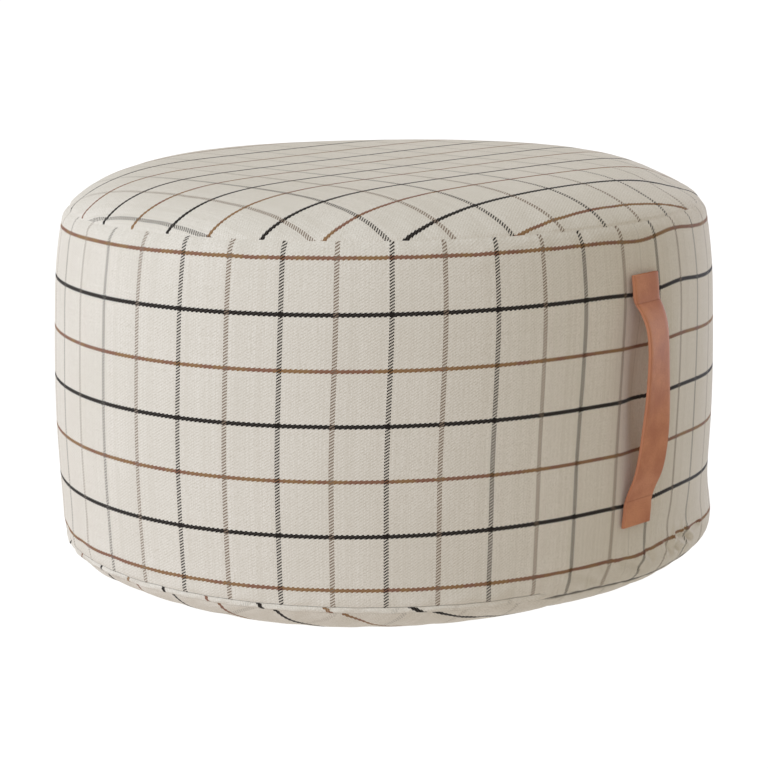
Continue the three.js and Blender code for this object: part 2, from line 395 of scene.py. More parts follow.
def creases(angle, height):
    """How far the creases at the lower seam draw the cloth in."""
    total = np.zeros(np.broadcast(angle, height).shape)
    degree = BOTTOM_SEAM_RADIUS * math.pi / 180
    for a0, h0, a1, h1, width, depth in CREASES:
        x, y = (angle - a0) * degree, height - h0
        dx, dy = (a1 - a0) * degree, h1 - h0
        along = np.clip((x * dx + y * dy) / (dx * dx + dy * dy), 0, 1)
        off = np.hypot(x - along * dx, y - along * dy) / width
        total = total + depth * (bell(off) - CREASE_RIDGE_SHARE * bell(off - CREASE_RIDGE_WIDTHS))
    return total


def lean(height, radius, angle):
    """How much higher a point is than on an upright pouf."""
    share = np.clip((height - BOTTOM_SEAM_HEIGHT) / (TOP_SEAM_HEIGHT - BOTTOM_SEAM_HEIGHT), 0, 1)
    rise = LEAN_AT_BOTTOM_SEAM + (LEAN_AT_TOP_SEAM - LEAN_AT_BOTTOM_SEAM) * share
    return rise * radius * cos_deg(angle - LEAN_ANGLE) / WIDEST_RADIUS


def polar(radius, angle, height):
    return np.stack(np.broadcast_arrays(radius * cos_deg(angle), radius * sin_deg(angle), height), -1)


def side_point(angle, height, inwards=0.0):
    radius = side_radius(height) + mound(angle, height) - inwards - creases(angle, height)
    return polar(radius, angle, height + lean(height, radius, angle))


def crown_point(angle, share):
    """A point of the crown, at a share of the top seam's radius."""
    radius = TOP_SEAM_RADIUS * share
    higher = 1 + CROWN_HIGH_SHARE * share * cos_deg(angle - CROWN_HIGH_ANGLE)
    rise = CROWN_RISE * higher * (1 - share ** CROWN_POWER) ** CROWN_ROLL
    for a, at, spread, wide, up in CROWN_MOUNDS:
        swelling = bell(turn_between(angle, a) / spread, (share - at) / wide)
        rise = rise + up * swelling * (1 - share ** CROWN_MOUND_POWER)
    return polar(radius, angle, TOP_SEAM_HEIGHT + rise + lean(TOP_SEAM_HEIGHT, radius, angle))


def contact_radius(angle):
    """Radius of the flat that it stands on."""
    radius = CONTACT_RADIUS - CONTACT_SHIFT * cos_deg(angle - CONTACT_SHIFT_ANGLE)
    for a, spread, depth in CONTACT_TUCKS:
        radius = radius - depth * bell(turn_between(angle, a) / spread)
    return radius


def foot_point(angle, out, proud=0.0):
    """A point of the foot, from the flat that it stands on, at 0, out to the lower seam, at 1."""
    contact = contact_radius(angle)
    seam = BOTTOM_SEAM_RADIUS + mound(angle, BOTTOM_SEAM_HEIGHT)
    height = BOTTOM_SEAM_HEIGHT + lean(BOTTOM_SEAM_HEIGHT, seam, angle)
    up = 1 - (1 - out ** FOOT_POWER) ** FOOT_ROLL
    return polar(contact + (seam - contact) * out + proud, angle, height * up)


def in_flap(angle):
    """1 where the flap is, 0 where it isn't."""
    return 1 - smooth(turn_between(angle, FLAP_MIDDLE) - FLAP_HALF_ANGLE, -FLAP_FADE, FLAP_FADE)


def edge_out(angle):
    """Where the bottom panel starts on the foot."""
    return EDGE_OUT - EDGE_DROP * between(angle, *EDGE_DROP_ANGLES)


# Where the check lies

def upright_number(angle, height):
    """Number of the upright line at an angle, between whole numbers where there is none."""
    numbers, top, low = (np.array(column, float) for column in zip(*UPRIGHTS))
    spare = LINES_ROUND - int(numbers[-1] - numbers[0])
    extra = np.arange(1, spare + 1)
    numbers = np.append(numbers, numbers[-1] + extra)

    def number_among(places):
        gap = 360 - (places[-1] - places[0])
        places = np.append(places, places[-1] + gap * extra / spare)
        return np.interp((angle - places[0]) % 360 + places[0], places, numbers)

    share = smooth(height, UPRIGHTS_LOW_HEIGHT, UPRIGHTS_TOP_HEIGHT)
    return number_among(low) + (number_among(top) - number_among(low)) * share


def pulled(angle, height):
    """How far the handle's stitching and the fold beside it shift a line round the side."""
    up = PULL_UP * bell((angle - PULL_UP_ANGLE) / PULL_UP_SPREAD) * smooth(height, *PULL_UP_HEIGHTS)
    down = PULL_DOWN * bell((angle - PULL_DOWN_ANGLE) / PULL_DOWN_SPREAD)
    step = STEP_UP * between(angle, *STEP_UP_ANGLES) * (height < STEP_UP_BELOW)
    return up - down + step


def round_number(angle, height):
    """Number of the line round the side at a height, between whole numbers where there is none."""
    rise = cos_deg(angle - LEAN_ANGLE) * (1 - LEVEL_SHARE * between(angle, *LEVEL_ANGLES))
    heights = np.stack([h + r * rise + pulled(angle, h) for _, h, r in ROUNDS], -1)
    numbers = np.array([number for number, _, _ in ROUNDS], float)
    k = np.clip((height[..., None] > heights).sum(-1) - 1, 0, len(ROUNDS) - 2)
    low = np.take_along_axis(heights, k[..., None], -1)[..., 0]
    high = np.take_along_axis(heights, k[..., None] + 1, -1)[..., 0]
    return numbers[k] + (height - low) / (high - low)


def side_cloth(points, angle):
    height = points[..., 2]
    near_handle = bell(turn_between(angle, BEND_ANGLE) / BEND_SPREAD, power=4)
    bent = BEND * np.clip(BEND_BELOW - height, 0, BEND_DEPTH) * near_handle
    upright = upright_number(angle, height) + bent
    return np.stack([upright, round_number(angle, height)], -1) * CHECK_PITCH


def top_cloth(flat_radius, angle):
    """The top's threads run along X."""
    x, y = flat_radius * cos_deg(angle), flat_radius * sin_deg(angle)
    places, numbers = (np.array(column, float) for column in zip(*TOP_ROUNDS))
    solid = np.interp(x - TOP_SKEW * (y - TOP_SKEW_START), places, numbers)
    slip = TOP_SLIP * smooth(x, *TOP_SLIP_PLACES)
    dashed = (y + slip - TOP_UPRIGHT_PLACE) / TOP_UPRIGHT_PITCH
    return np.stack([dashed, -solid], -1) * CHECK_PITCH


def bottom_cloth(flat_radius, angle):
    turned = angle - BOTTOM_NORMAL
    along = flat_radius * cos_deg(turned) - BOTTOM_PLACE
    across = flat_radius * sin_deg(turned) - BOTTOM_UPRIGHT_PLACE
    return np.stack([-across, along], -1)


# The cover's mesh

def crowded_angles(segments):
    """Angles round the cover, closer together beside the handle where the creases are."""
    angles = 360 * crowded(np.arange(segments) / segments, CROWDING) + CROWDING_ANGLE
    return (angles + 180) % 360 - 180


def flat_radii(rings, start):
    """How far each ring lies from the middle, measured along the cloth."""
    radii = [start]
    for a, b in zip(rings, rings[1:]):
        radii.append(radii[-1] + np.linalg.norm(b - a, axis=-1))
    return radii


def seam_line(rings, crease, faint=0.0, wider=0.0):
    """How far each point lies from a seam, as its painted shadow line takes it."""
    return [np.linalg.norm(ring - crease, axis=-1) * (1 - wider) + faint for ring in rings]


class Strip(NamedTuple):
    """Rings of points with their cloth coordinates, how strongly the upright lines show and how
    far the nearest seam is, for the seam's painted shadow line."""
    rings: list
    cloth: list
    strength: list
    seam: list

    def carried(self):
        """The cloth coordinates and marks of each ring, as four numbers a point."""
        return [np.column_stack([cloth, strength, np.minimum(seam, FAR_FROM_SEAM)])
                for cloth, strength, seam in zip(self.cloth, self.strength, self.seam)]


class Cover:
    """The sewn cover as strips, from the middle of the bottom to the middle of the top.
    Neighbours share the ring of points that is their seam."""

    def __init__(self, segments):
        self.segments = segments
        self.angles = crowded_angles(segments)
        self.start = edge_out(self.angles)
        self.flap = in_flap(self.angles)
        self.on_flap = self.flap > 0.5
        # Where the lower seam's painted shadow line is stronger and wider
        self.darker = between(self.angles, *SEAM_SHADOW_ANGLES)
        self.foot_crease = foot_point(self.angles, self.start, -SEAM_DEPTH * (1 - self.flap))
        self.lower_crease = side_point(self.angles, BOTTOM_SEAM_HEIGHT, SEAM_DEPTH * self.flap)
        self.top_crease = side_point(self.angles, TOP_SEAM_HEIGHT, TOP_SEAM_DEPTH)
        self.strips = {"bottom": self.bottom(), "edge": self.edge(), "side": self.side(), "top": self.top()}

    def all_round(self, value):
        return np.full(self.segments, value)

    def bottom(self):
        """The bottom panel up to where it meets the lower edge."""
        rings = [polar(self.all_round(r), self.angles, 0.0) for r in BOTTOM_RING_RADII]
        rings.append(polar(contact_radius(self.angles) * CONTACT_RING_SHARE, self.angles, 0.0))
        for share in spaced(FOOT_RINGS)[:-1]:
            rings.append(foot_point(self.angles, self.start * math.sin(share * math.pi / 2)))
        rings.append(self.foot_crease)
        self.bottom_radii = flat_radii(rings, self.all_round(float(BOTTOM_RING_RADII[0])))
        cloth = [bottom_cloth(r, self.angles) for r in self.bottom_radii]
        strength = [self.all_round(BOTTOM_STRENGTH)] * len(rings)
        faint = FOOT_SEAM_FAINT - SEAM_SHADOW_BELOW * self.darker
        seam = seam_line(rings, self.foot_crease, faint, SEAM_SHADOW_BELOW_WIDER * self.darker)
        return Strip(rings, cloth, strength, seam)

    def edge(self):
        """The narrow lower edge: the flap's cloth at the front, and elsewhere the side band's."""
        proud = self.flap * FLAP_PROUD
        first = proud - EDGE_FIRST_DEPTH * (1 - self.flap)
        rings = [self.foot_crease, foot_point(self.angles, self.start + EDGE_FIRST_STEP, first)]
        for share in EDGE_RING_SHARES:
            out = self.start + (1 - self.start) * share
            rings.append(foot_point(self.angles, out, proud * (FLAP_LOWER_EDGE - FLAP_TAPER * share)))
        rings.append(self.lower_crease)

        radii = flat_radii(rings, self.bottom_radii[-1])
        flap_cloth = [bottom_cloth(r, self.angles + FLAP_CLOTH_TURN) for r in radii]
        side = [side_cloth(ring, self.angles) for ring in rings]
        for ring, cloth in zip(rings, side):
            below = np.linalg.norm(ring - self.lower_crease, axis=-1)
            cloth[:, 1] = side[-1][:, 1] - below
        cloth = [np.where(self.on_flap[:, None], f, s) for f, s in zip(flap_cloth, side)]
        strength = [np.where(self.on_flap, FLAP_STRENGTH, EDGE_STRENGTH)] * len(rings)
        seam = seam_line(rings, self.foot_crease, -SEAM_SHADOW_ABOVE * self.darker,
                         SEAM_SHADOW_ABOVE_WIDER * self.darker)
        seam = [np.where(self.on_flap, FAR_FROM_SEAM, s) for s in seam]
        return Strip(rings, cloth, strength, seam)

    def side(self):
        """The side band, from the lower seam to the top one."""
        low, high = BOTTOM_SEAM_HEIGHT + ABOVE_LOWER_SEAM, TOP_SEAM_HEIGHT - BELOW_TOP_SEAM
        rings = [self.lower_crease]
        for share in spaced(SIDE_RINGS, SIDE_RING_CROWDING):
            rings.append(side_point(self.angles, self.all_round(low + (high - low) * share)))
        rings.append(self.top_crease)
        cloth = [side_cloth(ring, self.angles) for ring in rings]
        paler = between(self.angles, *SIDE_FADE_RIGHT) + between(self.angles, *SIDE_FADE_LEFT)
        strength = [1 - SIDE_FADE * paler] * len(rings)
        above_flap = [np.where(self.on_flap, s, FAR_FROM_SEAM)
                      for s in seam_line(rings, self.lower_crease, FLAP_SEAM_FAINT)]
        at_top = seam_line(rings, self.top_crease, TOP_SEAM_FAINT)
        seam = [np.minimum(a, b) for a, b in zip(above_flap, at_top)]
        return Strip(rings, cloth, strength, seam)

    def top(self):
        """The top panel, from its middle to its seam."""
        inner = 1 - INSIDE_TOP_SEAM / TOP_SEAM_RADIUS
        shares = POLE_RING_SHARES + [inner * math.sin(k / CROWN_RINGS * math.pi / 2) ** CROWN_RING_POWER
                                     for k in range(1, CROWN_RINGS + 1)]
        rings = [crown_point(self.angles, self.all_round(share)) for share in shares]
        rings.append(self.top_crease)
        radii = flat_radii(rings, np.linalg.norm(rings[0][:, :2], axis=-1))
        cloth = [top_cloth(r, self.angles) for r in radii]
        seam = seam_line(rings, self.top_crease, TOP_SEAM_FAINT)
        return Strip(rings, cloth, [self.top_strength(ring) for ring in rings], seam)

    def top_strength(self, ring):
        away = (ring[:, 1] - ring[:, 0]) * math.sqrt(0.5)
        left = -(ring[:, 0] + ring[:, 1]) * math.sqrt(0.5)
        back_fade = TOP_FADE_BACK * smooth(away, *TOP_FADE_BACK_PLACES)
        return TOP_STRENGTH - back_fade - TOP_FADE_LEFT * smooth(left, *TOP_FADE_LEFT_PLACES)


def wrapped(uv):
    """Keeps a face of the side that spans the start of the count in one piece."""
    whole = LINES_ROUND * CHECK_PITCH
    first = uv[0][0]
    return [np.array([u - whole * round((u - first) / whole), v]) for u, v in uv]


class Sewing:
    """Joins a cover's strips into one closed mesh."""

    def __init__(self, cover):
        self.segments = cover.segments
        self.points, self.faces, self.uvs, self.marks = [], [], [], []
        self.starts = {}
        for name, strip in cover.strips.items():
            carried = strip.carried()
            self.band(name, strip.rings, carried, cover.on_flap)
            if name in ("bottom", "top"):
                self.cap(strip.rings[0], carried[0], facing_down=name == "bottom")
        self.rings = {name: [self.start(ring) for ring in strip.rings]
                      for name, strip in cover.strips.items()}

    def start(self, ring):
        """Number of a ring's first point. A ring that two strips share is added once."""
        if id(ring) not in self.starts:
            self.starts[id(ring)] = len(self.points)
            self.points.extend(ring)
        return self.starts[id(ring)]

    def add(self, corners, carried, turned, on_side=False):
        if turned:
            corners, carried = corners[::-1], carried[::-1]
        uv = [c[:2] for c in carried]
        self.faces.append(corners)
        self.uvs.append(wrapped(uv) if on_side else uv)
        self.marks.append([c[2:] for c in carried])

    def band(self, name, rings, carried, on_flap):
        """The faces between the rings of one strip. The top's rings run from its middle down to
        its seam, so its faces are turned."""
        for k in range(len(rings) - 1):
            a, b = self.start(rings[k]), self.start(rings[k + 1])
            near, far = carried[k], carried[k + 1]
            for i in range(self.segments):
                j = (i + 1) % self.segments
                corners = [near[i], near[j], far[j], far[i]]
                if name == "edge" and on_flap[i] != on_flap[j]:
                    corners = [near[i], near[i], far[i], far[i]]
                on_side = name == "side" or (name == "edge" and not on_flap[i])
                self.add([a + i, a + j, b + j, b + i], corners, name == "top", on_side)

    def cap(self, ring, carried, facing_down):
        """Triangles from a ring to the point in its middle."""
        middle = len(self.points)
        self.points.append(ring.mean(axis=0))
        centre = carried.mean(axis=0)
        a = self.start(ring)
        for i in range(self.segments):
            j = (i + 1) % self.segments
            self.add([middle, a + j, a + i], [centre, carried[j], carried[i]], not facing_down)


def make_object(name, points, faces, uvs, marks=None):
    mesh = bpy.data.meshes.new(name)
    mesh.from_pydata([tuple(p * MM) for p in points], [], faces)
    layer = mesh.uv_layers.new(name="cloth")
    flat = np.array([c for face in uvs for c in face], float)
    layer.data.foreach_set("uv", (flat * MM).ravel())
    if marks is not None:
        layer = mesh.uv_layers.new(name="marks")
        flat = np.array([c for face in marks for c in face], float)
        layer.data.foreach_set("uv", flat.ravel())
    mesh.validate()
    mesh.polygons.foreach_set("use_smooth", [True] * len(mesh.polygons))
    obj = bpy.data.objects.new(name, mesh)
    bpy.context.scene.collection.objects.link(obj)
    return obj


# The filling

def read_points(mesh):
    points = np.empty(len(mesh.vertices) * 3)
    mesh.vertices.foreach_get("co", points)
    return points.reshape(-1, 3)


def pressed(obj, rest, rings, segments):
    """Where a cloth simulation moves the cover's points, held at the bottom and the seams."""
    held = obj.vertex_groups.new(name="held")
    seams = {rings["edge"][0], rings["side"][0], rings["side"][-1]}
    for start in {*rings["bottom"][:HELD_BOTTOM_RINGS], *seams}:
        held.add([start + i for i in range(segments)], 1.0, "REPLACE")
    random = np.random.default_rng(SETTLE_SEED)
    nudged = rest + random.normal(0, SETTLE_NUDGE * MM, rest.shape)
    obj.data.vertices.foreach_set("co", nudged.ravel())
    cloth = obj.modifiers.new("cloth", "CLOTH")
    for key, value in CLOTH_SETTINGS.items():
        setattr(cloth.settings, key, value)
    cloth.settings.vertex_group_mass = held.name
    cloth.settings.effector_weights.gravity = 0
    cloth.collision_settings.use_self_collision = False
    scene = bpy.context.scene
    scene.frame_start, scene.frame_end = 1, SETTLE_FRAMES
    cloth.point_cache.frame_start, cloth.point_cache.frame_end = 1, SETTLE_FRAMES
    for number in range(1, SETTLE_FRAMES + 1):
        scene.frame_set(number)
    points = read_points(obj.evaluated_get(bpy.context.evaluated_depsgraph_get()).to_mesh())
    obj.modifiers.remove(cloth)
    obj.vertex_groups.clear()
    scene.frame_set(1)
    return points


def short_waves(rest, moved, starts, segments):
    """The short waves of a movement round each ring. The long ones would change the form."""
    kept = np.zeros_like(moved)
    let_through = smooth(np.arange(segments // 2 + 1), *PUCKER_WAVES)
    for start in starts:
        ring = slice(start, start + segments)
        angle = np.arctan2(rest[ring, 1], rest[ring, 0])
        outwards = moved[ring, 0] * np.cos(angle) + moved[ring, 1] * np.sin(angle)
        along = -moved[ring, 0] * np.sin(angle) + moved[ring, 1] * np.cos(angle)
        outwards, along, up = (np.fft.irfft(np.fft.rfft(m) * let_through, segments)
                               for m in (outwards, along, moved[ring, 2]))
        kept[ring, 0] = outwards * np.cos(angle) - along * np.sin(angle)
        kept[ring, 1] = outwards * np.sin(angle) + along * np.cos(angle)
        kept[ring, 2] = up
    return kept


def limited(moved, limit):
    """A movement held smoothly under a limit."""
    away = np.linalg.norm(moved, axis=1, keepdims=True)
    return moved * (limit * np.tanh(away / limit) / np.maximum(away, 1e-9))


def pucker_share(rest, rings, segments):
    """How much of the puckers each point keeps."""
    x, y, z = rest.T / MM
    radius = np.hypot(x, y)
    top = [start + k for start in rings["top"][:-1] for k in range(segments)]
    from_seam = np.min([np.abs(z - height) for height in PUCKER_SEAM_HEIGHTS], axis=0)
    from_seam[top] = TOP_SEAM_RADIUS - radius[top]
    near_seam = PUCKER_FAR_SHARE + (1 - PUCKER_FAR_SHARE) * bell(from_seam / PUCKER_REACH)
    share = smooth(radius, *PUCKER_RADII) * near_seam
    share[top] *= PUCKER_TOP_SHARE
    behind = bell(np.degrees(np.arctan2(y, x)) / BEHIND_HANDLE_SPREAD, power=4)
    behind *= smooth(z, *BEHIND_HANDLE_HEIGHTS) * (radius > BEHIND_HANDLE_RADIUS)
    return share * (1 - behind)


def settle(obj, rings, segments):
    """Presses the filling against the sewn cover, which is cut a little full, so that it
    puckers. The filled form stays: only the puckers are kept."""
    rest = read_points(obj.data)
    moved = pressed(obj, rest, rings, segments) - rest
    starts = {start for run in rings.values() for start in run}
    puckers = limited(short_waves(rest, moved, starts, segments), PUCKER_LIMIT * MM)
    settled = rest + puckers * pucker_share(rest, rings, segments)[:, None]
    settled[:, 2] = np.maximum(settled[:, 2], 0)
    obj.data.vertices.foreach_set("co", settled.ravel())
    obj.data.update()


def refine(obj):
    """One round of subdivision, kept as the object's mesh."""
    modifier = obj.modifiers.new("finer", "SUBSURF")
    modifier.levels = modifier.render_levels = 1
    modifier.uv_smooth = "NONE"
    seen = obj.evaluated_get(bpy.context.evaluated_depsgraph_get())
    finer = bpy.data.meshes.new_from_object(seen)
    obj.modifiers.clear()
    old = obj.data
    obj.data = finer
    bpy.data.meshes.remove(old)
    finer.name = obj.name


# The handle's mesh

def strap_section():
    """Points round the strip's cross section, across its width and out from its back."""
    half, thick, edge = STRAP_WIDTH / 2, STRAP_THICKNESS, STRAP_EDGE_RADIUS
    section = []
    for x, y, start in ((half, thick, 0), (-half, thick, 90), (-half, 0, 180), (half, 0, 270)):
        cx = x - math.copysign(edge, x)
        cy = y - edge if y > 0 else edge
        for k in range(STRAP_CORNER_STEPS + 1):
            a = start + 90 * k / STRAP_CORNER_STEPS
            section.append((cx + edge * cos_deg(a), cy + edge * sin_deg(a)))
        if start in (0, 180):
            section += [(across, y) for across in np.linspace(cx, -cx, STRAP_FACE_STEPS + 1)[1:-1]]
    return section


def strap_mesh():
    """The strip from its upper end to its lower one. Its cloth coordinates are the place across
    it and the length from its upper end."""
    section = strap_section()
    n = len(section)
    points, carried = [], []
    along, last = 0.0, None
    for height, bow, turn, angle in catmull(STRAP_SECTIONS, STRAP_STEPS):
        radius = side_radius(height - lean(height, WIDEST_RADIUS, angle)) + STRAP_GAP + max(bow, 0)
        middle = polar(radius, angle, height)
        if last is not None:
            along += np.linalg.norm(middle - last)
        last = middle
        out = polar(1.0, angle + turn, 0.0)
        across = np.array([-out[1], out[0], 0])
        points += [middle + across * x + out * y for x, y in section]
        carried += [(x, along) for x, _ in section]
    faces = []
    for a in range(0, len(points) - n, n):
        for i in range(n):
            j = (i + 1) % n
            faces.append([a + i, a + j, a + n + j, a + n + i])
    faces.append(list(reversed(range(n))))
    faces.append(list(range(len(points) - n, len(points))))
    return np.array(points), faces, [[carried[corner] for corner in face] for face in faces]


# Materials

class Nodes:
    """A short way to write a material's node tree."""

    def __init__(self, name):
        self.material = bpy.data.materials.new(name)
        self.material.use_nodes = True
        self.tree = self.material.node_tree
        self.shader = self.tree.nodes["Principled BSDF"]

    def constants(self, values):
        """Sets what is the same all over the surface, on the shader's own sockets."""
        for socket, value in values.items():
            self.shader.inputs[socket].default_value = value

    def add(self, kind, **settings):
        node = self.tree.nodes.new(kind)
        for key, value in settings.items():
            setattr(node, key, value)
        return node

    def link(self, source, target):
        if isinstance(source, (int, float, tuple)):
            target.default_value = source
        else:
            self.tree.links.new(source, target)

    def place(self):
        return self.add("ShaderNodeTexCoord").outputs["Object"]

    def coordinates(self, layer):
        """The two numbers of a UV layer."""
        split = self.add("ShaderNodeSeparateXYZ")
        self.link(self.add("ShaderNodeUVMap", uv_map=layer).outputs[0], split.inputs[0])
        return split.outputs[0], split.outputs[1]

    def cloth(self):
        """The cloth coordinates in millimetres."""
        return [self.math("DIVIDE", c, MM) for c in self.coordinates("cloth")]

    def math(self, operation, *values):
        node = self.add("ShaderNodeMath", operation=operation)
        for k, value in enumerate(values):
            self.link(value, node.inputs[k])
        return node.outputs[0]

    def mix(self, factor, a, b, blend_type="MIX"):
        """Mixes colours. They are the Mix node's sockets 6 and 7, and its output 2."""
        node = self.add("ShaderNodeMix", data_type="RGBA", blend_type=blend_type)
        self.link(factor, node.inputs[0])
        self.link(a, node.inputs[6])
        self.link(b, node.inputs[7])
        return node.outputs[2]

    def blend(self, factor, a, b):
        """Mixes numbers. They are the Mix node's sockets 2 and 3, and its output 0."""
        node = self.add("ShaderNodeMix", data_type="FLOAT")
        self.link(factor, node.inputs[0])
        self.link(a, node.inputs[2])
        self.link(b, node.inputs[3])
        return node.outputs[0]

    def ramp(self, value, low, high, to_low=0.0, to_high=1.0):
        node = self.add("ShaderNodeMapRange", interpolation_type="SMOOTHSTEP")
        for k, v in enumerate((value, low, high, to_low, to_high)):
            self.link(v, node.inputs[k])
        return node.outputs[0]

    def noise(self, vector, scale, detail):
        node = self.add("ShaderNodeTexNoise")
        self.link(vector, node.inputs["Vector"])
        self.link(scale, node.inputs["Scale"])
        self.link(detail, node.inputs["Detail"])
        return node.outputs["Fac"]

    def uneven(self, number):
        """A value from 0 to 1 that differs from one whole number to the next."""
        node = self.add("ShaderNodeTexWhiteNoise", noise_dimensions="1D")
        self.link(number, node.inputs["W"])
        return node.outputs[0]

    def bump(self, height, distance, strength, normal=None):
        node = self.add("ShaderNodeBump")
        self.link(strength, node.inputs["Strength"])
        self.link(distance, node.inputs["Distance"])
        self.link(height, node.inputs["Height"])
        if normal is not None:
            self.link(normal, node.inputs["Normal"])
        return node.outputs[0]

    def from_middle(self, value, pitch):
        """How far a value lies from the middle of its thread, in threads."""
        share = self.math("FRACT", self.math("DIVIDE", value, pitch))
        return self.math("ABSOLUTE", self.math("SUBTRACT", share, 0.5))

    def left_over(self, value):
        """1 less a value."""
        return self.math("SUBTRACT", 1.0, value)

    def shaded(self, base, shade):
        """A colour made darker by a painted shade from 0 to 1."""
        grey = self.add("ShaderNodeCombineXYZ")
        for socket in grey.inputs:
            self.link(shade, socket)
        return self.mix(1.0, base, grey.outputs[0], "MULTIPLY")


def colour(r, g, b):
    """An sRGB colour in 0 to 255 as the linear numbers of a node."""
    def linear(c):
        c = c / 255
        return c / 12.92 if c <= 0.04045 else ((c + 0.055) / 1.055) ** 2.4
    return (linear(r), linear(g), linear(b), 1.0)


CREAM = colour(224, 216, 203)
CREAM_PALE = colour(230, 222, 210)
CREAM_DARK = colour(206, 197, 182)
CREAM_END = colour(232, 226, 215)
BLACK = colour(30, 24, 20)
BROWN_RED = colour(134, 94, 74)
BROWN_GOLD = colour(142, 108, 72)
TAUPE = colour(128, 110, 94)

LEATHER = colour(178, 112, 80)
LEATHER_PALE = colour(204, 139, 102)
LEATHER_GRAIN = colour(162, 100, 70)
LEATHER_RIM = colour(166, 108, 78)
LEATHER_FOLD_SHADE = colour(136, 80, 56)


def yarns(n, place, end, pick):
    """Yarn of the plain ends and picks, a little uneven from thread to thread and along the
    threads, and the brown yarn."""
    cloud = n.noise(place, scale=14.0, detail=3.0)
    fleck = n.noise(place, scale=900.0, detail=1.0)
    cream = n.mix(n.ramp(cloud, 0.35, 0.65), CREAM, CREAM_PALE)
    cream = n.mix(n.ramp(fleck, 0.35, 0.75), cream, CREAM_DARK)
    uneven_end = n.math("MULTIPLY", n.uneven(end), 0.55)
    uneven_pick = n.math("MULTIPLY", n.uneven(n.math("ADD", pick, 0.37)), 0.4)
    cream_end = n.mix(uneven_end, n.mix(0.5, cream, CREAM_END), CREAM_DARK)
    cream_pick = n.mix(uneven_pick, cream, CREAM_DARK)
    patch = n.noise(place, scale=55.0, detail=1.0)
    return cream_end, cream_pick, n.mix(n.ramp(patch, 0.42, 0.58), BROWN_RED, BROWN_GOLD)


def hidden_ends(n, step, from_line):
    """How far the thick yarn of a line round the cloth hides the ends: nearly all in the line's
    middle, and at its edges all but for the twill's notches."""
    middle = n.math("LESS_THAN", from_line, -PICK_PITCH)
    peep = n.math("MULTIPLY", n.math("LESS_THAN", step, 0.5), 0.06)
    notch = n.math("LESS_THAN", step, 1.5)
    return n.math("MAXIMUM", n.math("MULTIPLY", middle, n.left_over(peep)), n.left_over(notch))


def painted_seam_shadow(n, u, strength, seam):
    """Painted shadow: the thin dark line in a seam's crease. The side's closing seam is placed by the cloth.
    """
    beside = n.math("ABSOLUTE", n.math("SUBTRACT", u, CLOSING_SEAM))
    elsewhere = n.math("LESS_THAN", strength, CLOSING_SEAM_STRENGTH)
    beside = n.math("ADD", beside, n.math("MULTIPLY", elsewhere, 20.0))
    nearest = n.math("MINIMUM", seam, n.math("ADD", beside, CLOSING_SEAM_FAINT))
    return n.ramp(nearest, -0.7, 1.0, 0.2, 1.0)


def twill_relief(n, u, v, place, roundness, from_line):
    """Soft unevenness, the twill's ribs, the threads and the raised lines."""
    across = n.math("DIVIDE", u, TWILL_REPEAT * END_PITCH)
    up = n.math("DIVIDE", v, TWILL_REPEAT * PICK_PITCH)
    rib = n.math("SINE", n.math("MULTIPLY", 2 * math.pi, n.math("SUBTRACT", across, up)))
    raised = n.ramp(from_line, -1.4, 0.1, 1.0, 0.0)
    height = n.math("ADD", n.math("MULTIPLY", rib, 0.5), n.math("MULTIPLY", roundness, 0.4))
    height = n.math("ADD", height, n.math("MULTIPLY", raised, 2.2))
    soft = n.noise(place, scale=26.0, detail=3.0)
    return n.bump(height, 0.00011, 0.75, n.bump(soft, 0.0012, 0.8))


